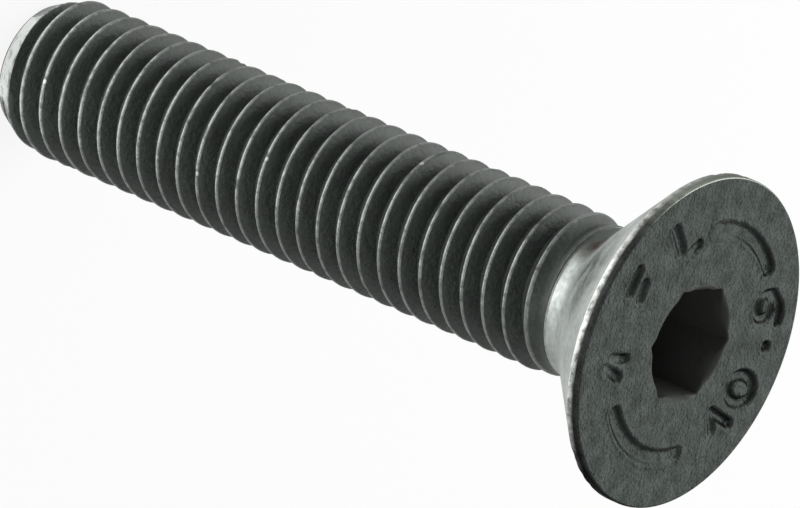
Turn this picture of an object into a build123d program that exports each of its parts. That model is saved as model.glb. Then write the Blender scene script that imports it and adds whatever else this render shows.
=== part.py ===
"""Countersunk screw with a hexagon socket, M8 x 1.25 x 40, threaded almost up to its head.

The screw stands on its thread end: the origin is the centre of the end face, +Z is the axis, out of
the head. It is one forged and rolled piece, so it is one solid: a turned body with a right-hand
thread round it, and a hexagon socket and two stamped bars cut into its head.
"""
from build123d import *
import math
import os

# driving dimensions (mm, deg)
overall_length = 40.0  # a countersunk screw is measured over its head
# head
head_diameter = 15.6
countersink_angle = 90.0  # of the whole seat cone
land_height = 0.68  # upright rim between the face and the seat cone
face_edge_chamfer = 0.2
under_head_radius = 1.0
# neck between the head and the thread
neck_diameter = 7.26
neck_length = 0.8  # from the seat cone's foot to the thread
# thread
thread_diameter = 7.82
thread_pitch = 1.25
flank_angle = 60.0  # between the two flanks of a groove
crest_flat = 0.16
root_flat = 0.21
crest_fade_length = 1.4  # the crest comes down towards the neck over this length
root_rise_length = 1.5  # the groove's floor comes up towards the neck over this length
crest_step = 0.04  # left between the faded crest and the neck's wall
root_step = 0.1  # left between the risen groove and the neck's wall
start_angle = 0.0  # where the crest leaves the end face, round from +X
facets_per_turn = 22  # an even count: the thread is lofted in two half turns
# thread end
end_face_diameter = 6.2
end_chamfer_length = 1.6
# hexagon socket
socket_width = 5.0  # across flats
socket_depth = 3.5
socket_angle = 0.0  # direction of one flat, round from +X
socket_floor_diameter = 4.7
socket_floor_angle = 120.0
socket_tip_diameter = 0.8  # the flat at the bottom of the floor's cone
# two curved bars stamped into the face
bar_radius = 5.5  # of a bar's middle line, round the axis
bar_width = 0.62
bar_depth = 0.16
bar_sweep = 56.0  # between the centres of a bar's round ends
bar_directions = (-20.0, 152.0)  # middle of each bar, round from +X

# hidden fits between the thread and the body it grows out of
core_inset = 0.2  # the core's wall below the groove's floor
thread_inset = 0.8  # how far the thread reaches into the core
# cutters reach this far past the surface that they break through
cutter_reach = 0.3

flank_height = (thread_pitch - crest_flat - root_flat) / 2
thread_depth = flank_height / math.tan(math.radians(flank_angle / 2))
crest_radius = thread_diameter / 2
root_radius = crest_radius - thread_depth
neck_radius = neck_diameter / 2
head_radius = head_diameter / 2
seat_top = overall_length - land_height
seat_bottom = seat_top - (head_radius - neck_radius) / math.tan(math.radians(countersink_angle / 2))
neck_end = seat_bottom - neck_length


def body():
    """The forged and turned body: head, seat, neck and thread core, revolved as one section."""
    core_radius = root_radius - core_inset
    face_rim = (head_radius, overall_length)
    seat_foot = (neck_radius, seat_bottom)
    with BuildSketch(Plane.XZ) as section:
        with BuildLine():
            Polyline(
                (0, 0),
                (core_radius, 0),
                (core_radius, neck_end),
                (neck_radius, neck_end),
                seat_foot,
                (head_radius, seat_top),
                face_rim,
                (0, overall_length),
                close=True,
            )
        make_face()
        chamfer(section.vertices().sort_by_distance((*face_rim, 0))[0], face_edge_chamfer)
        fillet(section.vertices().sort_by_distance((*seat_foot, 0))[0], under_head_radius)
    return revolve(section.sketch, Axis.Z)


def faded(height, full_radius, last_radius, fade_length):
    """A radius that holds along the thread, fades below the neck and holds again inside it."""
    done = min(1.0, max(0.0, 1 - (neck_end - height) / fade_length))
    return full_radius + (last_radius - full_radius) * done


def thread_comb(turn):
    """The thread's section in the half plane this far round: one tooth above another."""
    angle = math.radians(start_angle) + math.tau * turn
    inner_radius = root_radius - core_inset - thread_inset
    last_crest = neck_radius - crest_step
    last_root = neck_radius - root_step
    tooth_count = math.ceil(neck_end / thread_pitch) + 2
    outline = []
    for tooth in range(tooth_count):
        middle = (turn - 1 + tooth) * thread_pitch
        for height in (middle - crest_flat / 2, middle + crest_flat / 2):
            outline.append((faded(height, crest_radius, last_crest, crest_fade_length), height))
        foot = middle + crest_flat / 2 + flank_height
        for height in (foot, foot + root_flat):
            outline.append((faded(height, root_radius, last_root, root_rise_length), height))
    outline.append((inner_radius, outline[-1][1]))
    outline.insert(0, (inner_radius, outline[0][1]))
    return Wire.make_polygon([Vector(r * math.cos(angle), r * math.sin(angle), z) for r, z in outline])


def thread():
    """Ridges of straight chords round a right-hand helix, turned to a blunt cone at the end."""
    half = facets_per_turn // 2
    combs = [thread_comb(step / facets_per_turn) for step in range(facets_per_turn + 1)]
    ridges = Solid.make_loft(combs[: half + 1], ruled=True) + Solid.make_loft(combs[half:], ruled=True)
    end_radius = end_face_diameter / 2
    steepness = end_chamfer_length / (crest_radius - end_radius)
    outer_radius = crest_radius + cutter_reach
    below = -2 * thread_pitch
    with BuildSketch(Plane.XZ) as waste:
        with BuildLine():
            Polyline(
                (0, 0),
                (end_radius, 0),
                (outer_radius, steepness * (outer_radius - end_radius)),
                (outer_radius, below),
                (0, below),
                close=True,
            )
        make_face()
    return ridges - revolve(waste.sketch, Axis.Z)


def hexagon_socket():
    """Six flats and a blunt conical floor, as a forging punch leaves them, open at the head's face."""
    floor_radius = socket_floor_diameter / 2
    tip_radius = socket_tip_diameter / 2
    floor_height = (floor_radius - tip_radius) / math.tan(math.radians(socket_floor_angle / 2))
    floor_plane = Plane.XY.offset(overall_length - socket_depth)
    with BuildSketch(floor_plane) as hexagon:
        RegularPolygon(socket_width / 2, 6, major_radius=False, rotation=socket_angle + 30)
    flats = extrude(hexagon.sketch, socket_depth + cutter_reach)
    with BuildSketch(Plane.XZ) as half_cone:
        with BuildLine():
            top = overall_length - socket_depth
            bottom = top - floor_height
            Polyline((0, bottom), (tip_radius, bottom), (floor_radius, top), (0, top), close=True)
        make_face()
    return flats + revolve(half_cone.sketch, Axis.Z)


def stamped_bar(direction):
    """One curved bar with round ends, sunk into the face."""
    with BuildSketch(Plane.XY.offset(overall_length - bar_depth)) as bar:
        with BuildLine():
            spine = CenterArc((0, 0), bar_radius, direction - bar_sweep / 2, bar_sweep)
        SlotArc(spine, bar_width)
    return extrude(bar.sketch, bar_depth + cutter_reach)


head = body() - hexagon_socket()
for bar_direction in bar_directions:
    head -= stamped_bar(bar_direction)
screw = head + thread()

os.makedirs("parts", exist_ok=True)
export_step(screw, "parts/screw.step")
box = screw.bounding_box()
print(f"screw: {len(screw.solids())} solid, {len(screw.faces())} faces, {screw.volume:.1f} mm3")
print(f"from {tuple(round(v, 3) for v in box.min)} to {tuple(round(v, 3) for v in box.max)}")
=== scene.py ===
# %% [markdown]
# # A countersunk screw in blackened steel
#
# This lesson dresses one screw: a flat head with a hexagon socket, a short neck and a rolled
# thread. The CAD model is the fixed frame. It stands on its thread end, with +Z along the axis out
# of the head, and every length below is a real one. The plan is to turn one fine skin for the whole
# screw, press the marks into its face, give it five finishes of one steel, and light it softly.

import math
import random

import bmesh
import bpy
from mathutils import Matrix, Vector


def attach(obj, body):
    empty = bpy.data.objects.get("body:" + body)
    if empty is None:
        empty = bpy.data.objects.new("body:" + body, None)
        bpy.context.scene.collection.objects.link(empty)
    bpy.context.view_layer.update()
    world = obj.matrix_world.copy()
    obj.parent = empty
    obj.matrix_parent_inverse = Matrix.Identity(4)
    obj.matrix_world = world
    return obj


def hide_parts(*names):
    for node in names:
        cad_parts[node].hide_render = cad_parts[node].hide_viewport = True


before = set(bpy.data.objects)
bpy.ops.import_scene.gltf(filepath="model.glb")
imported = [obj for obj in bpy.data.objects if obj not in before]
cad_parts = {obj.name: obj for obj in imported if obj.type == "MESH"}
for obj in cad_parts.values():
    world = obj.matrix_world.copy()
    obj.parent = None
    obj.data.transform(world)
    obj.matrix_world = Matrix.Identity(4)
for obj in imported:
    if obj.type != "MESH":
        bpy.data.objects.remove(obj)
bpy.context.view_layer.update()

# %% [markdown]
# ## Sizes
#
# A machinist would read these off the screw with a calliper. They are written in millimetres and
# multiplied by `MM`, because Blender counts in metres. The thread is M8 with its coarse pitch. The
# skin's head stands 0.08 mm proud of the frame's and its upright land is 0.08 mm shorter, so that
# both share one seat cone.

# %% The screw's sizes
MM = 0.001
LENGTH = 40.0 * MM
HEAD_RADIUS = 7.88 * MM
LAND_HEIGHT = 0.60 * MM
NECK_RADIUS = 3.63 * MM
NECK_LENGTH = 0.8 * MM
SEAT_TOP = LENGTH - LAND_HEIGHT
# the seat is a cone of 90 degrees, so it rises as much as it widens
SEAT_BOTTOM = SEAT_TOP - (HEAD_RADIUS - NECK_RADIUS)
NECK_END = SEAT_BOTTOM - NECK_LENGTH

PITCH = 1.25 * MM
CREST_RADIUS = 3.91 * MM
CREST_FLAT = 0.16 * MM
ROOT_FLAT = 0.21 * MM
FLANK_ANGLE = 30  # degrees between a flank and the level
FLANK_HEIGHT = (PITCH - CREST_FLAT - ROOT_FLAT) / 2
ROOT_RADIUS = CREST_RADIUS - FLANK_HEIGHT / math.tan(math.radians(FLANK_ANGLE))
CREST_FADE = 1.4 * MM
ROOT_RISE = 1.5 * MM

END_RADIUS = 3.1 * MM
END_CHAMFER = 1.6 * MM
END_ROUND = 0.12 * MM
END_BAND = 0.30 * MM

SOCKET_APOTHEM = 2.5 * MM
SOCKET_DEPTH = 3.5 * MM
print(f"root radius {ROOT_RADIUS / MM:.3f} mm, neck ends {NECK_END / MM:.2f} mm up")

# %% [markdown]
# ## Where the eye and the axis are
#
# The axis is the world's Z. `round_axis` turns a bearing round it into a direction and
# `place_round` into a place. They put the lamps, the marks, the knocks and the stains where they
# belong, most of them by their bearing from the side that the eye sees.

# %% Directions round the axis
VIEW_BEARING = -106.2


def round_axis(degrees):
    """The level direction at this bearing, counted from +X."""
    return Vector((math.cos(math.radians(degrees)), math.sin(math.radians(degrees)), 0))


def place_round(degrees, radius, height):
    """The place at this bearing, radius and height."""
    place = round_axis(degrees) * radius
    place.z = height
    return place


to_eye = round_axis(VIEW_BEARING)
print("towards the eye:", tuple(round(c, 3) for c in to_eye))

# %% [markdown]
# ## The thread
#
# A rolled thread is one tooth's section carried up a helix, so `bmesh.ops.spin` makes it: a spin
# takes `dvec`, a lift for each step. One turn is spun and the rest are copies of it, which is much
# quicker than spinning on. The section runs from the middle of one groove to the middle of the
# next, so each turn's upper edge lands on the next turn's lower edge, where the doubles are merged.
# Its corners are rounded, because the bright line on a real crest is a tiny radius that catches
# the lamp, which a sharp corner can't do.

# %% One tooth's section
CREST_CORNER = 0.125 * MM
ROOT_CORNER = 0.10 * MM


def rounded_path(corners, radii, steps):
    """Points along straight runs whose inner corners are replaced by arcs of the given radii."""
    path = [corners[0]]
    for before, corner, after, radius in zip(corners, corners[1:], corners[2:], radii):
        to_before = (before - corner).normalized()
        to_after = (after - corner).normalized()
        half = to_before.angle(to_after) / 2
        centre = corner + (to_before + to_after).normalized() * (radius / math.sin(half))
        start = corner + to_before * (radius / math.tan(half)) - centre
        end = corner + to_after * (radius / math.tan(half)) - centre
        for step in range(steps + 1):
            arm = start.slerp(end, step / steps)
            path.append(centre + arm.normalized() * radius)
    path.append(corners[-1])
    return path


half_crest, half_root = CREST_FLAT / 2, ROOT_FLAT / 2
tooth_corners = [
    Vector((ROOT_RADIUS, 0, -PITCH / 2)),
    Vector((ROOT_RADIUS, 0, -PITCH / 2 + half_root)),
    Vector((CREST_RADIUS, 0, -half_crest)),
    Vector((CREST_RADIUS, 0, half_crest)),
    Vector((ROOT_RADIUS, 0, PITCH / 2 - half_root)),
    Vector((ROOT_RADIUS, 0, PITCH / 2)),
]
tooth_rounds = [ROOT_CORNER, CREST_CORNER, CREST_CORNER, ROOT_CORNER]
tooth = rounded_path(tooth_corners, tooth_rounds, steps=3)
print(f"one tooth has {len(tooth)} points")

# %% Wind the tooth up the axis
TURN_STEPS = 72
TURNS_BELOW = 2  # wound past the end face, to be cut off there
TURN_SEAM = 0.002 * MM


def wire(bm, points):
    """Adds a chain of edges through these points."""
    verts = [bm.verts.new(p) for p in points]
    for pair in zip(verts, verts[1:]):
        bm.edges.new(pair)


def split_flanks(bm):
    """Two more rings of edges along each flank, so that it bends smoothly in dents and fades."""
    long_edges = [e for e in bm.edges if e.calc_length() > FLANK_HEIGHT]
    bmesh.ops.subdivide_edges(bm, edges=long_edges, cuts=2)


def copies(bm, count, move):
    """Copies all that the mesh holds; move(verts, number) puts each copy in its place."""
    first = bm.verts[:] + bm.edges[:] + bm.faces[:]
    for number in range(1, count):
        made = bmesh.ops.duplicate(bm, geom=first)["geom"]
        move([g for g in made if isinstance(g, bmesh.types.BMVert)], number)


skin = bmesh.new()
wire(skin, [p - Vector((0, 0, TURNS_BELOW * PITCH)) for p in tooth])
split_flanks(skin)
bmesh.ops.spin(
    skin,
    geom=skin.verts[:] + skin.edges[:],
    cent=(0, 0, 0),
    axis=(0, 0, 1),
    dvec=(0, 0, PITCH / TURN_STEPS),
    angle=math.tau,
    steps=TURN_STEPS,
)
turns = math.ceil(NECK_END / PITCH) + TURNS_BELOW + 1
copies(skin, turns, lambda verts, k: bmesh.ops.translate(skin, verts=verts, vec=(0, 0, k * PITCH)))
bmesh.ops.remove_doubles(skin, verts=skin.verts, dist=TURN_SEAM)
print(f"{turns} turns, {len(skin.faces)} faces")

# %% [markdown]
# ## The ends of the thread
#
# At the far end the blank was turned to a blunt cone before rolling, so no point may stand outside
# that cone, and a plain band of the cone is left below the first groove. Near the neck the dies
# lift away: the crest comes down and the groove comes up until both meet the neck. These are rules
# for a point's radius at its height, so one pass moves them all.

# %% Shape the two ends
LAST_CREST = NECK_RADIUS + 0.02 * MM
LAST_ROOT = NECK_RADIUS - 0.05 * MM
BAND_FADE = 0.30 * MM
# what hangs below the end face keeps clear of the axis until it is cut off
LEAST_RADIUS = 1 * MM


def blend(low, high, amount):
    """Low at an amount of 0 and below, high at 1 and above, and straight between them."""
    return low + (high - low) * min(1.0, max(0.0, amount))


def smooth(amount):
    """From 0 to 1 as the amount does, but with a gentle start and end."""
    amount = min(1.0, max(0.0, amount))
    return amount * amount * (3 - 2 * amount)


for vert in skin.verts:
    radius, height = vert.co.xy.length, vert.co.z
    left = NECK_END - height
    crest = blend(CREST_RADIUS, LAST_CREST, 1 - left / CREST_FADE)
    root = blend(ROOT_RADIUS, LAST_ROOT, smooth(1 - left / ROOT_RISE))
    share = (radius - ROOT_RADIUS) / (CREST_RADIUS - ROOT_RADIUS)
    cone = END_RADIUS + height * (CREST_RADIUS - END_RADIUS) / END_CHAMFER
    plain = smooth(1 - (height - END_BAND) / BAND_FADE)
    rolled = blend(root + share * (crest - root), CREST_RADIUS, plain)
    vert.co.xy *= min(rolled, max(cone, LEAST_RADIUS)) / radius


# %% Cut the thread to length
ON_THE_CUT = 1e-8  # metres
CUT_SLIVER = 0.003 * MM


def cut_level(bm, height, keep_above):
    """Cuts the skin at this height and throws one side away."""
    bmesh.ops.bisect_plane(
        bm,
        geom=bm.verts[:] + bm.edges[:] + bm.faces[:],
        dist=ON_THE_CUT,
        plane_co=(0, 0, height),
        plane_no=(0, 0, 1),
        clear_inner=keep_above,
        clear_outer=not keep_above,
    )


cut_level(skin, END_ROUND, True)
cut_level(skin, NECK_END, False)
bmesh.ops.remove_doubles(skin, verts=skin.verts, dist=CUT_SLIVER)
print(f"cut to {len(skin.faces)} faces between the end's edge and the neck")

# %% Close the flat end
SAME_LEVEL = 0.01 * MM
ROUND_ANGLES = (30, 60, 90)  # degrees round the end's rounded edge
END_RINGS = (2.2 * MM, 1.1 * MM)


def open_loop(bm, height):
    """The edges of the hole that lies at this height."""
    return [
        e
        for e in bm.edges
        if e.is_boundary and all(abs(v.co.z - height) < SAME_LEVEL for v in e.verts)
    ]


def next_ring(bm, edges, radius, height):
    """Extrudes a loop of edges to a ring of this radius and height, and gives back its edges."""
    made = bmesh.ops.extrude_edge_only(bm, edges=edges)["geom"]
    ring = [g for g in made if isinstance(g, bmesh.types.BMEdge)]
    for vert in {v for e in ring for v in e.verts}:
        vert.co.z = height
        vert.co.xy *= radius / vert.co.xy.length
    return ring


loop = open_loop(skin, END_ROUND)
for angle in ROUND_ANGLES:
    inward = END_ROUND * (1 - math.cos(math.radians(angle)))
    height = END_ROUND * (1 - math.sin(math.radians(angle)))
    loop = next_ring(skin, loop, END_RADIUS - inward, height)
for radius in END_RINGS:
    loop = next_ring(skin, loop, radius, 0)
bmesh.ops.contextual_create(skin, geom=loop)
print(f"end closed, {len(skin.faces)} faces")

# %% [markdown]
# ## The head and the neck
#
# The head was upset in a round die, so it is a turned form: one section, from the thread's end up
# over the seat, the rim and the face, and down into the socket, spun round the axis. A sixth of a
# turn is spun and copied, which keeps an edge at each corner of the hexagon to come. The face gets
# many close rings, because the marks are pressed into it later.

# %% The head's section
SOCKET_CIRCLE = 2.75 * MM
FLOOR_RADIUS = 2.35 * MM
TIP_RADIUS = 0.4 * MM
FLOOR_ANGLE = 60  # degrees between the floor's cone and the axis
PLAIN_NECK = NECK_END + 0.26 * MM
socket_bottom = LENGTH - SOCKET_DEPTH
tip_bottom = socket_bottom - (FLOOR_RADIUS - TIP_RADIUS) / math.tan(math.radians(FLOOR_ANGLE))

# fine rings below the plain neck: each one's radius, and its rise above the thread in millimetres
ring_marks = [
    (NECK_RADIUS - 0.01 * MM, 0.02),
    (NECK_RADIUS - 0.04 * MM, 0.06),
    (NECK_RADIUS + 0.01 * MM, 0.11),
    (NECK_RADIUS - 0.04 * MM, 0.16),
    (NECK_RADIUS, 0.21),
]
head_corners = [
    Vector((NECK_RADIUS, 0, PLAIN_NECK)),
    Vector((NECK_RADIUS, 0, SEAT_BOTTOM)),
    Vector((HEAD_RADIUS, 0, SEAT_TOP)),
    Vector((HEAD_RADIUS, 0, LENGTH)),
    Vector((SOCKET_CIRCLE, 0, LENGTH)),
    Vector((SOCKET_CIRCLE, 0, socket_bottom)),
    Vector((FLOOR_RADIUS, 0, socket_bottom)),
    Vector((TIP_RADIUS, 0, tip_bottom)),
    Vector((0, 0, tip_bottom)),
]
# how round each corner between the first and the last is, in millimetres
corner_radii = [1.45, 0.06, 0.10, 0.09, 0.12, 0.05, 0.3]
section = [Vector((radius, 0, NECK_END + rise * MM)) for radius, rise in ring_marks]
section += rounded_path(head_corners, [r * MM for r in corner_radii], steps=4)
print(f"the head's section starts from {len(section)} points")

# %% Turn the head
SIXTH = 60  # degrees
SIXTH_STEPS = 72
LEAD_DEPTH = 0.22 * MM
FACE_RUN, OTHER_RUN = 0.075 * MM, 0.6 * MM
FACE_LEVEL = LENGTH - 0.001 * MM
HEAD_SEAM = 0.0005 * MM


def divide(bm, edges, longest):
    """Cuts each edge into equal runs no longer than this."""
    for edge in edges:
        cuts = math.ceil(edge.calc_length() / longest) - 1
        if cuts > 0:
            bmesh.ops.subdivide_edges(bm, edges=[edge], cuts=cuts)


def turn_sixth(verts, number):
    """Turns this copy of the first sixth to its own place."""
    turn = Matrix.Rotation(math.radians(SIXTH * number), 3, "Z")
    bmesh.ops.rotate(head, verts=verts, cent=(0, 0, 0), matrix=turn)


head = bmesh.new()
wire(head, section)
# one more point on the socket's wall, where the cone at its mouth will end
bmesh.ops.bisect_plane(
    head,
    geom=head.verts[:] + head.edges[:],
    plane_co=(0, 0, LENGTH - LEAD_DEPTH),
    plane_no=(0, 0, 1),
)
on_face = [e for e in head.edges if all(v.co.z > FACE_LEVEL for v in e.verts)]
elsewhere = [e for e in head.edges if e not in on_face]
divide(head, on_face, FACE_RUN)
divide(head, elsewhere, OTHER_RUN)
bmesh.ops.spin(
    head,
    geom=head.verts[:] + head.edges[:],
    cent=(0, 0, 0),
    axis=(0, 0, 1),
    angle=math.radians(SIXTH),
    steps=SIXTH_STEPS,
)
copies(head, 6, turn_sixth)
bmesh.ops.remove_doubles(head, verts=head.verts, dist=HEAD_SEAM)
print(f"head turned: {len(head.faces)} faces")

# %% [markdown]
# ## The hexagon socket
#
# A punch makes the socket, so its six walls meet at sharp corners. Cutting a prism out of the head
# would break the face's close rings, but the turned section has already given it a round hole.
# Drawing each ring of that hole out to a hexagon keeps the rings, and their distance from the walls
# fades into the round face around it. A shallow cone at the mouth, a little wider than the flats,
# leads the key in and bites into the middle of each wall.

# %% Draw the hole to a hexagon
LEAD_RADIUS = 2.70 * MM
HOLE_WALL = SOCKET_CIRCLE + 0.2 * MM  # below the face, anything wider is the head's outside
FADE_START, FADE_LENGTH = 0.1 * MM, 1.75 * MM
ROUND_FROM = 4.6 * MM


def hexagon_radius(bearing):
    """How far the wall is from the axis at this bearing in radians; the flats face +X and -X."""
    sixth = math.radians(SIXTH)
    off_flat = (bearing + sixth / 2) % sixth - sixth / 2
    return SOCKET_APOTHEM / math.cos(off_flat)


for vert in head.verts:
    radius = vert.co.xy.length
    if vert.co.z < tip_bottom - SAME_LEVEL or radius < FLOOR_RADIUS or radius > ROUND_FROM:
        continue
    if vert.co.z < SEAT_TOP and radius > HOLE_WALL:
        continue
    sink = min(1.0, (LENGTH - vert.co.z) / LEAD_DEPTH)
    lead = blend(LEAD_RADIUS, SOCKET_APOTHEM, sink)
    shift = max(lead, hexagon_radius(math.atan2(vert.co.y, vert.co.x))) - SOCKET_CIRCLE
    if radius > SOCKET_CIRCLE:
        share = 1 - smooth((radius - SOCKET_CIRCLE - FADE_START) / FADE_LENGTH)
    else:
        share = (radius - FLOOR_RADIUS) / (SOCKET_CIRCLE - FLOOR_RADIUS)
    vert.co.xy *= (radius + shift * share) / radius
print(f"socket drawn to {2 * SOCKET_APOTHEM / MM:.1f} mm across flats")

# %% [markdown]
# ## The marks in the face
#
# The strength class 10.9 is stamped cold, with plain bars round the rest of the face. A stamp
# pushes steel down and a little of it swells up beside the stroke, which letters cut out with a
# boolean would not show. Each stroke is a line of points with a width and a depth. Every point of
# the face asks how far it is from each stroke, and sinks or swells by that distance, so the dense
# rings do the drawing.

# %% Strokes of the marks
face_up = to_eye
face_right = round_axis(VIEW_BEARING - 90)


def on_face_at(right, up):
    """A place on the face, in millimetres right and up of the axis as the marks are read."""
    return (face_right * right + face_up * up) * MM


def curve(centre, radii, from_angle, to_angle, steps=14):
    """Points round an ellipse, as (right, up) pairs."""
    points = []
    for step in range(steps + 1):
        angle = math.radians(blend(from_angle, to_angle, step / steps))
        x = centre[0] + radii[0] * math.cos(angle)
        points.append((x, centre[1] + radii[1] * math.sin(angle)))
    return points


# each stroke: its points, its width and how deep it is at its two ends, all in millimetres
one = [(-3.29, -4.40), (-2.53, -3.81), (-2.73, -5.55)]
nought = curve((-1.09, -5.35), (0.66, 0.98), 0, 360, steps=20)
point = [(1.15, -5.88), (1.15, -5.97)]
nine = curve((2.80, -4.58), (0.58, 0.58), -20, 340)
nine_tail = [(3.36, -4.40), (3.50, -4.86), (3.13, -5.61), (2.76, -5.95), (2.44, -6.06)]
left_bar = curve((0, 0), (5.44, 5.44), 140, 206)
right_bar = curve((-0.10, -0.35), (5.62, 5.62), -36, 20)
strokes = [
    (one, 0.38, 0.15, 0.24),
    (nought, 0.46, 0.22, 0.22),
    (point, 0.38, 0.24, 0.24),
    (nine, 0.40, 0.20, 0.20),
    (nine_tail, 0.42, 0.18, 0.26),
    (left_bar, 0.62, 0.19, 0.10),
    (right_bar, 0.62, 0.22, 0.07),
    ([(-2.62, 4.40), (-2.42, 5.55)], 0.40, 0.19, 0.08),
    ([(-1.72, 4.40), (-1.90, 5.45)], 0.40, 0.19, 0.08),
    ([(1.10, 6.15), (2.15, 6.10)], 0.40, 0.17, 0.20),
    ([(1.02, 5.20), (1.72, 5.25)], 0.40, 0.15, 0.19),
    ([(4.45, 4.60), (3.70, 3.55)], 0.42, 0.19, 0.14),
    ([(3.75, 2.85), (4.25, 2.45)], 0.42, 0.10, 0.20),
]
print(f"{len(strokes)} strokes")

# %% Press them in
SOFT_EDGE = 0.135 * MM
SWELL = 0.024 * MM
SWELL_MIDDLE, SWELL_SPREAD = 0.20 * MM, 0.08 * MM
STROKE_REACH = 0.8 * MM
MARKED_FROM, MARKED_TO = 2.95 * MM, 7.4 * MM
WELL_SUNK = 0.05 * MM
FAR_AWAY = 1.0  # a metre, which is further than anything here


def press(place, stroke):
    """How far this place of the face sinks under one stroke; a swell is a negative answer."""
    points, width, first_depth, last_depth = stroke
    nearest, along = FAR_AWAY, 0.0
    for number, (start, end) in enumerate(zip(points, points[1:])):
        run = end - start
        share = min(1.0, max(0.0, (place - start).dot(run) / run.length_squared))
        gap = (start + run * share - place).length
        if gap < nearest:
            nearest, along = gap, (number + share) / (len(points) - 1)
    past_edge = nearest - width / 2
    sunk = 1 - smooth((past_edge + SOFT_EDGE) / (2 * SOFT_EDGE))
    swell = math.exp(-(((past_edge - SWELL_MIDDLE) / SWELL_SPREAD) ** 2))
    return blend(first_depth, last_depth, along) * sunk - SWELL * swell


pressed = []
for points, width, first_depth, last_depth in strokes:
    placed = [on_face_at(*p) for p in points]
    centre = sum(placed, Vector()) / len(placed)
    reach = max((p - centre).length for p in placed) + STROKE_REACH
    pressed.append((centre, reach, (placed, width * MM, first_depth * MM, last_depth * MM)))

sunk_points = 0
for vert in head.verts:
    if vert.co.z < FACE_LEVEL or not MARKED_FROM < vert.co.xy.length < MARKED_TO:
        continue
    place = Vector((vert.co.x, vert.co.y, 0))
    depth = 0.0
    for centre, reach, stroke in pressed:
        if (place - centre).length < reach:
            change = press(place, stroke)
            depth = max(depth, change) if change > 0 else (depth or change)
    vert.co.z -= depth
    sunk_points += depth > WELL_SUNK
print(f"{sunk_points} points of the face lie in a mark")

# %% Join the head to the thread
joined = bpy.data.meshes.new("head")
head.to_mesh(joined)
skin.from_mesh(joined)
head.free()
bpy.data.meshes.remove(joined)
first_ring = section[0].z
neck_loop = open_loop(skin, NECK_END)
head_loop = open_loop(skin, first_ring)
bmesh.ops.bridge_loops(skin, edges=neck_loop + head_loop)
print(f"joined {len(neck_loop)} thread edges to {len(head_loop)} head edges")
print("edges still open:", sum(e.is_boundary for e in skin.edges))

# %% [markdown]
# ## Knocks
#
# Loose screws rattle against each other in a box. The thin crests and the rim's lower edge take
# small dents. A displacement texture would wear every turn alike, so each dent has its own place,
# and pushes the nearest points in towards the axis.

# %% Choose the knocks
KNOCK_REACH = 0.26 * MM
HARD_KNOCK_DEPTH = 0.06 * MM
# the hardest knocks on the crests: bearing from the eye's side, and turn
HARD_KNOCKS = [(8, 3), (-3, 14), (-46, 20), (26, 11)]
KNOCKED_TURNS = range(2, 28)
KNOCKS_A_TURN = 2
RIM_KNOCKS = 34
luck = random.Random(8)


def on_crest(bearing, turn):
    """The place on this turn's crest at this bearing in degrees."""
    return place_round(bearing, CREST_RADIUS, PITCH * (bearing / 360 + turn))


struck = [on_crest(VIEW_BEARING + offset, turn) for offset, turn in HARD_KNOCKS]
knocks = [(place, KNOCK_REACH, HARD_KNOCK_DEPTH) for place in struck]
for turn in KNOCKED_TURNS:
    for _ in range(KNOCKS_A_TURN):
        place = on_crest(luck.uniform(-180, 180), turn)
        reach = KNOCK_REACH * luck.uniform(0.6, 1.3)
        if place.z < NECK_END - CREST_FADE:
            knocks.append((place, reach, luck.uniform(0.03, 0.08) * MM))
for _ in range(RIM_KNOCKS):
    bearing = luck.uniform(-180, 180)
    place = place_round(bearing, HEAD_RADIUS, SEAT_TOP + luck.uniform(-0.02, 0.08) * MM)
    reach = KNOCK_REACH * luck.uniform(0.6, 1.6)
    knocks.append((place, reach, luck.uniform(0.02, 0.06) * MM))
print(f"{len(knocks)} knocks")

# %% Dent the crests and the rim
knocks.sort(key=lambda knock: knock[0].z)
dented = 0
for vert in skin.verts:
    for place, reach, depth in knocks:
        if abs(vert.co.z - place.z) < reach and (vert.co - place).length < reach:
            near = 1 - (vert.co - place).length / reach
            vert.co.xy *= 1 - depth * smooth(near) / vert.co.xy.length
            dented += 1
print(f"points moved {dented} times")

# %% [markdown]
# ## One object
#
# The skin becomes one mesh, because the real screw is one piece. Its faces are shaded smooth, which
# hides that each is flat, except across sharp edges such as the socket's corners. It rides on the
# frame's only body and stands for the frame's only solid, which stays there for collisions.

# %% Make it one object
SHARP_ANGLE = 48  # degrees
bmesh.ops.recalc_face_normals(skin, faces=skin.faces)
bmesh.ops.triangulate(skin, faces=[f for f in skin.faces if len(f.verts) > 4])
for polygon in skin.faces:
    polygon.smooth = True
mesh = bpy.data.meshes.new("black_screw")
skin.to_mesh(mesh)
skin.free()
mesh.set_sharp_from_angle(angle=math.radians(SHARP_ANGLE))
screw = bpy.data.objects.new("black_screw", mesh)
bpy.context.scene.collection.objects.link(screw)
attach(screw, "root")
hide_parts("screw")
triangles = sum(len(p.vertices) - 2 for p in mesh.polygons)
print(f"one skin of {triangles} triangles")

# %% [markdown]
# ## Materials
#
# The whole screw is one steel, but its surface differs. The grooves and the socket keep a dull
# black oxide. The crests are rubbed through it, and the neck and the seat are brighter, with a
# stain. The face has the fine grain of the bar's sheared end, and the rim is black with a bare
# lower edge. Each effect that several finishes share is a node group, which gives out masks and
# heights only. Black steel shows mostly what it mirrors, so its base colours are very dark. The
# neck, the rim, the face and all bare steel are wholly metallic, the grooves' oxide only partly,
# and the dull black of the socket not at all.

# %% Helpers for node trees
FLOAT, VECTOR = "NodeSocketFloat", "NodeSocketVector"


def feed(tree, socket, value):
    """Links a node's output to this socket, or sets the socket to a number, place or colour."""
    if isinstance(value, bpy.types.NodeSocket):
        tree.links.new(value, socket)
    elif socket.type == "RGBA":
        socket.default_value = (*value, 1)
    else:
        socket.default_value = value


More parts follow.
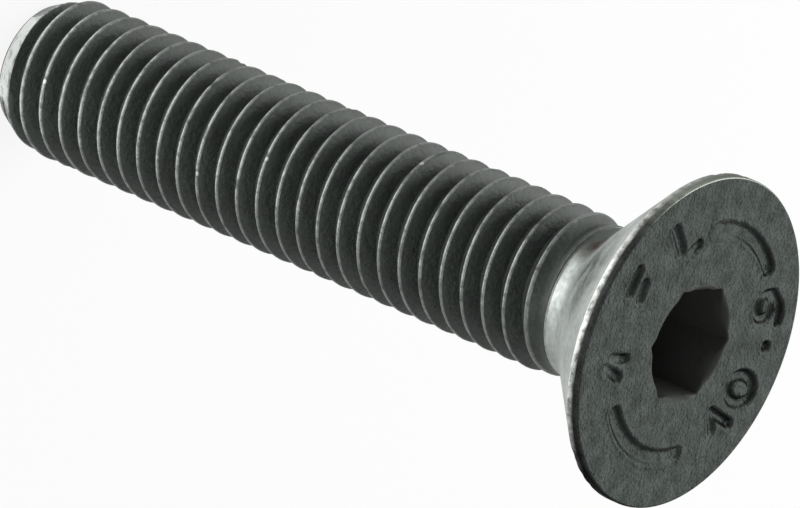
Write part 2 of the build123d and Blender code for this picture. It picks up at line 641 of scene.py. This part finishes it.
def add_node(tree, kind, inputs=None, **settings):
    """Adds a node with these settings, and feeds its inputs by their names or numbers."""
    made = tree.nodes.new(kind)
    for name, value in settings.items():
        setattr(made, name, value)
    for key, value in (inputs or {}).items():
        feed(tree, made.inputs[key], value)
    return made


def math_node(tree, operation, *values, clamp=False):
    """A Math node; each of its values is a socket to link or a number."""
    inputs = dict(enumerate(values))
    made = add_node(tree, "ShaderNodeMath", inputs, operation=operation, use_clamp=clamp)
    return made.outputs[0]


# a Mix node has sockets for each kind of data: numbers are at 2 and 3, and colours at 6 and 7
def mix_value(tree, mask, low, high):
    """The low number where the mask is 0 and the high one where it is 1."""
    inputs = {0: mask, 2: low, 3: high}
    return add_node(tree, "ShaderNodeMix", inputs, data_type="FLOAT").outputs[0]


def mix_colour(tree, mask, low, high):
    """The low colour where the mask is 0 and the high one where it is 1."""
    inputs = {0: mask, 6: low, 7: high}
    return add_node(tree, "ShaderNodeMix", inputs, data_type="RGBA").outputs[2]


def noise(tree, place, scale, **inputs):
    """The value of a Noise Texture at this place."""
    inputs = {"Vector": place, "Scale": scale, **inputs}
    return add_node(tree, "ShaderNodeTexNoise", inputs).outputs[0]


# %% Helpers for node groups
def new_group(name, takes, gives):
    """A node group with named sockets; returns it with what it takes in and what it gives out."""
    group = bpy.data.node_groups.new(name, "ShaderNodeTree")
    for socket, kind in takes.items():
        group.interface.new_socket(socket, in_out="INPUT", socket_type=kind)
    for socket, kind in gives.items():
        group.interface.new_socket(socket, in_out="OUTPUT", socket_type=kind)
    print(f"group {name} takes {', '.join(takes)} and gives {', '.join(gives)}")
    taken, given = group.nodes.new("NodeGroupInput"), group.nodes.new("NodeGroupOutput")
    return group, taken.outputs, given.inputs


def use_group(tree, group, **values):
    """Places a group; each value goes to the socket of its name, and the one output comes back."""
    inputs = {name.replace("_", " ").title(): value for name, value in values.items()}
    return add_node(tree, "ShaderNodeGroup", inputs, node_tree=group).outputs[0]


# %% Group: edge wear
# How far something is into its worn band, broken up by noise so that the wear comes and goes.
NOISE_MEAN, PATCH_CONTRAST, WEAR_GAIN = 0.5, 2.2, 2.0
edge_wear, taken, given = new_group(
    "edge_wear",
    {"Vector": VECTOR, "Distance": FLOAT, "Reach": FLOAT, "Breakup Scale": FLOAT, "Amount": FLOAT},
    {"Mask": FLOAT},
)
breakup = noise(edge_wear, taken["Vector"], taken["Breakup Scale"], Detail=4.0, Roughness=0.65)
near = math_node(edge_wear, "DIVIDE", taken["Distance"], taken["Reach"])
near = math_node(edge_wear, "SUBTRACT", 1.0, near, clamp=True)
patchy = math_node(edge_wear, "SUBTRACT", breakup, NOISE_MEAN)
patchy = math_node(edge_wear, "MULTIPLY_ADD", patchy, PATCH_CONTRAST, taken["Amount"])
worn = math_node(edge_wear, "MULTIPLY", near, patchy)
worn = math_node(edge_wear, "MULTIPLY", worn, WEAR_GAIN, clamp=True)
feed(edge_wear, given["Mask"], worn)

# %% Group: oxide mottle
# Soft clouds and fine specks in the black oxide, from 0 for dull to 1 for shiny.
CLOUD_CONTRAST, SPECK_CONTRAST, MOTTLE_START = 1.7, 1.5, -1.1
oxide_mottle, taken, given = new_group(
    "oxide_mottle", {"Vector": VECTOR, "Cloud Scale": FLOAT, "Speck Scale": FLOAT}, {"Mask": FLOAT}
)
clouds = noise(oxide_mottle, taken["Vector"], taken["Cloud Scale"], Detail=3.0)
specks = noise(oxide_mottle, taken["Vector"], taken["Speck Scale"], Detail=2.0)
mixed = math_node(oxide_mottle, "MULTIPLY_ADD", clouds, CLOUD_CONTRAST, MOTTLE_START)
mixed = math_node(oxide_mottle, "MULTIPLY_ADD", specks, SPECK_CONTRAST, mixed, clamp=True)
feed(oxide_mottle, given["Mask"], mixed)

# %% Group: fine relief
# The tiny bumps of an oxidised surface, as a height in metres.
fine_relief, taken, given = new_group(
    "fine_relief",
    {"Vector": VECTOR, "Scale": FLOAT, "Detail": FLOAT, "Height": FLOAT},
    {"Height": FLOAT},
)
bumps = noise(
    fine_relief, taken["Vector"], taken["Scale"], Detail=taken["Detail"], Roughness=0.6
)
feed(fine_relief, given["Height"], math_node(fine_relief, "MULTIPLY", bumps, taken["Height"]))


# %% What every finish starts from
class Finish:
    """A material with the places that every finish of this screw asks for."""

    def __init__(self, name):
        self.material = bpy.data.materials.new(name)
        self.material.use_nodes = True
        self.tree = self.material.node_tree
        self.shader = self.tree.nodes["Principled BSDF"]
        self.place = add_node(self.tree, "ShaderNodeTexCoord").outputs["Object"]
        parts = add_node(self.tree, "ShaderNodeSeparateXYZ", {0: self.place}).outputs
        self.height = parts["Z"]
        across = math_node(self.tree, "MULTIPLY", parts["X"], parts["X"])
        both = math_node(self.tree, "MULTIPLY_ADD", parts["Y"], parts["Y"], across)
        self.radius = math_node(self.tree, "SQRT", both)

    def use(self, group, **values):
        """Places a group that reads where it is on the screw."""
        return use_group(self.tree, group, vector=self.place, **values)

    def gap_to(self, centre):
        """How far each point of the surface is from this place."""
        inputs = {0: self.place, 1: centre}
        made = add_node(self.tree, "ShaderNodeVectorMath", inputs, operation="DISTANCE")
        return made.outputs["Value"]

    def patch(self, offset, radius, height, **wear):
        """A worn or stained patch round one place, this many degrees round from the eye's side."""
        centre = place_round(VIEW_BEARING + offset, radius, height)
        return self.use(edge_wear, distance=self.gap_to(centre), **wear)

    def set(self, socket, value):
        """Feeds one of the shader's own sockets."""
        feed(self.tree, self.shader.inputs[socket], value)

    def bump(self, *heights):
        """One bump from the sum of these heights in metres."""
        total = heights[0]
        for height in heights[1:]:
            total = math_node(self.tree, "ADD", total, height)
        inputs = {"Strength": 1.0, "Distance": 1.0, "Height": total}
        self.set("Normal", add_node(self.tree, "ShaderNodeBump", inputs).outputs[0])

    def report(self):
        """Prints how many nodes the finish took."""
        print(f"{self.material.name}: {len(self.tree.nodes)} nodes")


# %% [markdown]
# ## The thread's finish
#
# The grooves are black, the crests are rubbed in patches, and the end is a turned cone with a bare
# edge. The wear could be painted by hand turn by turn. Here it comes from one distance: the radius
# that a crest has at this height, less the point's own radius. That is nothing on every crest of
# the helix, so one mask follows them all. The hardest knocks and the end get masks of the same
# kind.

# %% Thread: how far each point is from its crest
thread = Finish("rolled_thread")
tree = thread.tree
cone_rise = (CREST_RADIUS - END_RADIUS) / END_CHAMFER
cone = math_node(tree, "MULTIPLY_ADD", thread.height, cone_rise, END_RADIUS)
faded = math_node(tree, "SUBTRACT", thread.height, NECK_END - CREST_FADE)
faded = math_node(tree, "DIVIDE", faded, CREST_FADE, clamp=True)
fading = math_node(tree, "MULTIPLY_ADD", faded, LAST_CREST - CREST_RADIUS, CREST_RADIUS)
crest_here = math_node(tree, "MINIMUM", cone, fading)
below_crest = math_node(tree, "SUBTRACT", crest_here, thread.radius)
from_crest = math_node(tree, "ABSOLUTE", below_crest)
thread.report()

# %% Thread: worn crests, worn end and bare knocks
# the first turns start the screw in its hole, so their crests are rubbed wider
STARTING_LENGTH = 14 * MM
WIDEST_WEAR, WEAR_LOSS = 0.090 * MM, 0.035 * MM
FADED_LOSS = 0.65
BARE_BAND = 0.4 * END_BAND
from_end = math_node(tree, "DIVIDE", thread.height, STARTING_LENGTH, clamp=True)
crest_wear = thread.use(
    edge_wear,
    distance=from_crest,
    reach=math_node(tree, "MULTIPLY_ADD", from_end, -WEAR_LOSS, WIDEST_WEAR),
    breakup_scale=2300,
    amount=0.50,
)
kept = math_node(tree, "MULTIPLY_ADD", faded, -FADED_LOSS, 1.0)
crest_wear = math_node(tree, "MULTIPLY", crest_wear, kept)
above_band = math_node(tree, "SUBTRACT", thread.height, BARE_BAND)
end_wear = thread.use(
    edge_wear,
    distance=math_node(tree, "MAXIMUM", above_band, 0.0),
    reach=0.25 * MM,
    breakup_scale=900,
    amount=0.75,
)
nearest = FAR_AWAY
for place in struck:
    nearest = math_node(tree, "MINIMUM", thread.gap_to(place), nearest)
knock_wear = thread.use(
    edge_wear, distance=nearest, reach=0.15 * MM, breakup_scale=5000, amount=0.8
)
thread.report()

# %% Thread: colour and gloss
GROOVE_BLACK = (0.0185, 0.0230, 0.0193)
GROOVE_GREY = (0.038, 0.0455, 0.0395)
CREST_STEEL = (0.180, 0.191, 0.183)
STRUCK_STEEL = (0.40, 0.40, 0.385)
END_STEEL = (0.175, 0.182, 0.176)
mottle = thread.use(oxide_mottle, cloud_scale=700, speck_scale=6000)
groove = mix_colour(tree, mottle, GROOVE_BLACK, GROOVE_GREY)
worn = mix_colour(tree, crest_wear, groove, CREST_STEEL)
worn = mix_colour(tree, knock_wear, worn, STRUCK_STEEL)
thread.set("Base Color", mix_colour(tree, end_wear, worn, END_STEEL))
bare = math_node(tree, "MAXIMUM", crest_wear, end_wear)
thread.set("Metallic", mix_value(tree, bare, 0.40, 1.0))
thread.set("Specular Tint", (0.85, 0.85, 0.85))
thread.set("Roughness", mix_value(tree, crest_wear, 0.50, 0.38))
thread.bump(thread.use(fine_relief, scale=3600, detail=3, height=0.046 * MM))
thread.report()

# %% [markdown]
# ## The neck and the seat
#
# The neck and the seat are smoother than the thread and their oxide is thin, so they are brighter,
# with dark tarnish and a brown stain close below the head. Noise alone would spread these evenly.
# Each one is a patch round a place of its own, and the noise only breaks it up.

# %% Neck and seat: burnished, with tarnish and a stain
NECK_DARK = (0.235, 0.255, 0.242)
NECK_LIGHT = (0.40, 0.42, 0.405)
TARNISH = (0.088, 0.098, 0.090)
STAIN = (0.050, 0.037, 0.030)
EDGE_STEEL = (0.51, 0.525, 0.495)

neck = Finish("burnished_neck")
tree = neck.tree
mottle = neck.use(oxide_mottle, cloud_scale=520, speck_scale=3600)
tarnish = neck.patch(
    -56, 3.9 * MM, SEAT_BOTTOM - 0.3 * MM, reach=2.4 * MM, breakup_scale=900, amount=0.85
)
dull = neck.patch(
    -12, 5.6 * MM, SEAT_BOTTOM + 1.9 * MM, reach=3.0 * MM, breakup_scale=700, amount=0.5
)
stain = neck.patch(
    -38, 4.1 * MM, SEAT_BOTTOM + 0.1 * MM, reach=1.3 * MM, breakup_scale=2200, amount=0.45
)
below_rim = math_node(tree, "ABSOLUTE", math_node(tree, "SUBTRACT", SEAT_TOP, neck.height))
rim_wear = neck.use(
    edge_wear, distance=below_rim, reach=0.12 * MM, breakup_scale=1400, amount=0.6
)
steel = mix_colour(tree, mottle, NECK_DARK, NECK_LIGHT)
steel = mix_colour(tree, math_node(tree, "MAXIMUM", tarnish, dull), steel, TARNISH)
steel = mix_colour(tree, stain, steel, STAIN)
neck.set("Base Color", mix_colour(tree, rim_wear, steel, EDGE_STEEL))
neck.set("Metallic", 1.0)
neck.set("Specular Tint", (0.7, 0.7, 0.7))
neck.set("Roughness", mix_value(tree, mottle, 0.64, 0.52))
neck.bump(neck.use(fine_relief, scale=2600, detail=4, height=0.020 * MM))
neck.report()

# %% [markdown]
# ## The rim
#
# The upright land round the head is black. Its lower corner, where it meets the seat, is worn
# bright part of the way round, and its upper corner a little on the far side. A mask by height
# alone would draw a full bright circle, so it is multiplied by a wide patch, which lets the wear
# fade out on the way round.

# %% Rim: black land with a worn lower edge
RIM_BLACK = (0.014, 0.015, 0.0145)
RIM_GREY = (0.036, 0.038, 0.037)
RUBBED_STEEL = (0.225, 0.24, 0.21)

rim = Finish("oxidised_rim")
tree = rim.tree
mottle = rim.use(oxide_mottle, cloud_scale=900, speck_scale=7000)
above_seat = math_node(tree, "ABSOLUTE", math_node(tree, "SUBTRACT", rim.height, SEAT_TOP))
edge = rim.use(
    edge_wear, distance=above_seat, reach=0.31 * MM, breakup_scale=2400, amount=0.52
)
handled = rim.patch(-10, HEAD_RADIUS, SEAT_TOP, reach=9.8 * MM, breakup_scale=500, amount=1.15)
edge = math_node(tree, "MULTIPLY", edge, handled)
rubbed = rim.patch(-76, HEAD_RADIUS, SEAT_TOP, reach=6.6 * MM, breakup_scale=2600, amount=0.9)
below_face = math_node(tree, "SUBTRACT", LENGTH, rim.height)
top_edge = rim.use(
    edge_wear, distance=below_face, reach=0.16 * MM, breakup_scale=2000, amount=0.40
)
far_side = rim.patch(-112, HEAD_RADIUS, SEAT_TOP, reach=8.5 * MM, breakup_scale=500, amount=1.0)
top_edge = math_node(tree, "MULTIPLY", top_edge, far_side)
rubbed = math_node(tree, "MAXIMUM", rubbed, top_edge)
black = mix_colour(tree, mottle, RIM_BLACK, RIM_GREY)
black = mix_colour(tree, rubbed, black, RUBBED_STEEL)
rim.set("Base Color", mix_colour(tree, edge, black, EDGE_STEEL))
rim.set("Metallic", 1.0)
rim.set("Specular Tint", (0.25, 0.25, 0.25))
rim.set("Roughness", mix_value(tree, edge, 0.46, 0.38))
rim.bump(rim.use(fine_relief, scale=3600, detail=4, height=0.022 * MM))
rim.report()

# %% [markdown]
# ## The face
#
# The face is the sheared and upset end of the bar, with a close grain that glitters where it turns
# to the lamp. Two sizes of bump give that grain. The marks' walls are painted near-black as shade,
# which stands in for the shade in the stamped grooves. The mesh knows where they are: a normal
# there leans away from straight up, so that lean is the mask, and no drawing of the marks is
# needed.

# %% Face: grained oxide with painted shade on the walls of its marks
FACE_DARK = (0.0155, 0.0181, 0.0166)
FACE_LIGHT = (0.0305, 0.0353, 0.0324)
# painted shade: the near-black colour that the marks' walls get in place of the shade in the
# grooves
WALL_PAINTED_SHADE = (0.005, 0.005, 0.0046)
FLAT_ENOUGH, WALL_CONTRAST = 0.90, 4.0
INSIDE_EDGE = 7.3 * MM  # the face's own rounded edge leans too, but is no wall

face = Finish("grained_face_with_painted_wall_shade")
tree = face.tree
mottle = face.use(oxide_mottle, cloud_scale=1100, speck_scale=7500)
normal = add_node(tree, "ShaderNodeTexCoord").outputs["Normal"]
upright = add_node(tree, "ShaderNodeSeparateXYZ", {0: normal}).outputs["Z"]
# painted shade: every steep wall inside the face is darkened towards near black by how far its
# normal leans
wall_shade = math_node(tree, "SUBTRACT", FLAT_ENOUGH, upright)
wall_shade = math_node(tree, "MULTIPLY", wall_shade, WALL_CONTRAST, clamp=True)
inside = math_node(tree, "LESS_THAN", face.radius, INSIDE_EDGE)
wall_shade = math_node(tree, "MULTIPLY", wall_shade, inside)
steel = mix_colour(tree, mottle, FACE_DARK, FACE_LIGHT)
face.set("Base Color", mix_colour(tree, wall_shade, steel, WALL_PAINTED_SHADE))
face.set("Metallic", 1.0)
face.set("Specular Tint", (0.55, 0.55, 0.55))
face.set("Roughness", mix_value(tree, mottle, 0.40, 0.32))
grain = face.use(fine_relief, scale=5400, detail=1.5, height=0.042 * MM)
pits = face.use(fine_relief, scale=1900, detail=2, height=0.040 * MM)
face.bump(grain, pits)
face.report()

# %% [markdown]
# ## The socket
#
# The socket is never rubbed, so its oxide is dull and even all the way down. A dark metal would
# mirror the back lamp in its walls. A plain dark coat that hardly shines scatters the little light
# that gets in, so the walls part from each other only by how they face.

# %% Socket: dull black all the way down
SOCKET_BLACK = (0.025, 0.027, 0.024)
SOCKET_GREY = (0.031, 0.033, 0.030)

socket = Finish("black_socket")
tree = socket.tree
mottle = socket.use(oxide_mottle, cloud_scale=900, speck_scale=5000)
socket.set("Base Color", mix_colour(tree, mottle, SOCKET_BLACK, SOCKET_GREY))
socket.set("Specular IOR Level", 0.1)
socket.set("Roughness", mix_value(tree, mottle, 0.66, 0.56))
socket.bump(socket.use(fine_relief, scale=4200, detail=4, height=0.012 * MM))
socket.report()

# %% [markdown]
# ## Where each finish goes
#
# The finishes meet where the real surfaces do, along circles round the axis. The faces could be
# picked by hand in edit mode, but a face's height and its distance from the axis already say which
# of the five surfaces it is on.

# %% Give each zone its finish
finishes = [thread, neck, rim, face, socket]
THREAD, NECK, RIM, FACE, SOCKET = range(len(finishes))
RINGED = 0.085 * MM  # the thread's finish goes on over the first of the neck's fine rings
SOCKET_EDGE = 3.3 * MM
MOUTH_LEVEL = LENGTH - 0.002 * MM
RIM_INNER = HEAD_RADIUS - 0.07 * MM
for finish in finishes:
    mesh.materials.append(finish.material)


def zone(height, radius):
    """Which finish a place on the skin has."""
    if height < NECK_END + RINGED:
        return THREAD
    if radius < SOCKET_EDGE and height < MOUTH_LEVEL:
        return SOCKET
    if height < SEAT_TOP:
        return NECK
    return RIM if radius > RIM_INNER else FACE


for polygon in mesh.polygons:
    polygon.material_index = zone(polygon.center.z, polygon.center.xy.length)
for number, finish in enumerate(finishes):
    count = sum(p.material_index == number for p in mesh.polygons)
    print(f"{finish.material.name}: {count} faces")

# %% [markdown]
# ## The studio
#
# The screw stands on a pale floor. Dark steel shows its shape by what it reflects, so each soft box
# stands where one kind of surface mirrors it to the eye. Upright walls, which are the crests and
# the neck, look down at the floor in front, so two boxes lie there. The face looks up and away, so
# a large box stands behind. The grooves' flanks look up to one side, where a fourth box is. The
# fifth fills the shadows from the eye's side. The lamps themselves are hidden from the camera.

# %% Floor and surroundings
STUDIO_RADIUS = 3.0
FLOOR_SINK = 0.01 * MM
FLOOR_GLOW, GLOW_SHARE = 0.97, 0.9
DIM_WORLD = 0.4

bpy.ops.mesh.primitive_circle_add(
    vertices=96, radius=STUDIO_RADIUS, fill_type="NGON", location=(0, 0, -FLOOR_SINK)
)
floor = bpy.context.object
floor.name = "studio_floor"
pale = bpy.data.materials.new("pale_floor")
pale.use_nodes = True
tree = pale.node_tree
matt = tree.nodes["Principled BSDF"]
feed(tree, matt.inputs["Base Color"], (0.9, 0.9, 0.9))
feed(tree, matt.inputs["Roughness"], 0.9)
feed(tree, matt.inputs["Specular IOR Level"], 0.1)


def seen_rays(tree):
    """1 for what the eye sees straight, in a gloss or through glass."""
    path = add_node(tree, "ShaderNodeLightPath").outputs
    seen = math_node(tree, "ADD", path["Is Camera Ray"], path["Is Glossy Ray"], clamp=True)
    return math_node(tree, "ADD", seen, path["Is Transmission Ray"], clamp=True)


glow = add_node(tree, "ShaderNodeEmission", {"Strength": FLOOR_GLOW})
shown = math_node(tree, "MULTIPLY", seen_rays(tree), GLOW_SHARE)
lit = add_node(tree, "ShaderNodeMixShader", {0: shown, 1: matt.outputs[0], 2: glow.outputs[0]})
feed(tree, tree.nodes["Material Output"].inputs[0], lit.outputs[0])
floor.data.materials.append(pale)

world = bpy.data.worlds.new("studio")
bpy.context.scene.world = world
world.use_nodes = True
tree = world.node_tree
background = tree.nodes["Background"]
feed(tree, background.inputs["Color"], (1, 1, 1))
feed(tree, background.inputs["Strength"], mix_value(tree, seen_rays(tree), DIM_WORLD, 1.0))
print("floor and surroundings ready")


# %% Lamps
def soft_box(name, place, aim, across, size, radiance):
    """A hidden rectangular lamp, as bright to look into as `radiance` white cards."""
    lamp = bpy.data.lights.new(name, "AREA")
    lamp.shape = "RECTANGLE"
    lamp.size, lamp.size_y = size
    lamp.energy = radiance * math.pi * size[0] * size[1]
    box = bpy.data.objects.new(name, lamp)
    back = (place - aim).normalized()
    side = (across - back * across.dot(back)).normalized()
    turned = Matrix((side, back.cross(side), back)).transposed().to_4x4()
    box.matrix_world = Matrix.Translation(place) @ turned
    box.visible_camera = False
    bpy.context.scene.collection.objects.link(box)


up = Vector((0, 0, 1))
middle = up * 0.022
lift = up * 0.0002
near_floor = to_eye * 0.01125 + lift
far_floor = to_eye * 0.0435 + lift


def stand(offset, distance, height):
    """A lamp's place, this many degrees round from the eye's side and in metres from the middle."""
    return middle + round_axis(VIEW_BEARING + offset) * distance + up * height


# each lamp: its name, its place, what it aims at, the bearing of its width, its size and radiance
soft_boxes = [
    ("near_floor_box", near_floor, near_floor + up, 0, (0.0175, 0.034), 2.6),
    ("far_floor_box", far_floor, far_floor + up, 0, (0.047, 0.062), 2.6),
    ("back_box", stand(-155, 0.26, 0.16), middle, -65, (0.42, 0.18), 4.0),
    ("fill_box", stand(30, 0.24, 0.20), middle, -60, (0.20, 0.16), 2.3),
    ("side_box", stand(-114, 0.19, 0.24), middle, -24, (0.16, 0.14), 3.4),
]
for name, place, aim, width_offset, size, radiance in soft_boxes:
    soft_box(name, place, aim, round_axis(VIEW_BEARING + width_offset), size, radiance)
print(f"{len(soft_boxes)} soft boxes")

# %% [markdown]
# ## The eye
#
# A long lens from more than a third of a metre away keeps the screw's sides nearly parallel. The
# camera looks down at the head from in front and is rolled, so that the screw lies across the
# picture.

# %% Camera
EYE_PLACE = Vector((-86.74, -285.60, 232.15)) * MM
EYE_BEARING, EYE_PITCH, EYE_ROLL = 72.826, -34.962, -113.294  # degrees

eye = bpy.data.cameras.new("eye")
eye.lens = 355.5
eye.sensor_width = 36.0
eye.clip_start = 0.01
camera = bpy.data.objects.new("eye", eye)
pitch = math.radians(EYE_PITCH)
forward = round_axis(EYE_BEARING) * math.cos(pitch) + up * math.sin(pitch)
level = forward.cross(up).normalized()
rolled = Matrix.Rotation(math.radians(EYE_ROLL), 3, forward) @ level
upward = rolled.cross(forward)
turned = Matrix((rolled, upward, -forward)).transposed().to_4x4()
camera.matrix_world = Matrix.Translation(EYE_PLACE) @ turned
bpy.context.scene.collection.objects.link(camera)
bpy.context.scene.camera = camera
bpy.context.scene.view_settings.view_transform = "Standard"
print(f"a {eye.lens} mm lens, {EYE_PLACE.length / MM:.0f} mm from the screw's end")
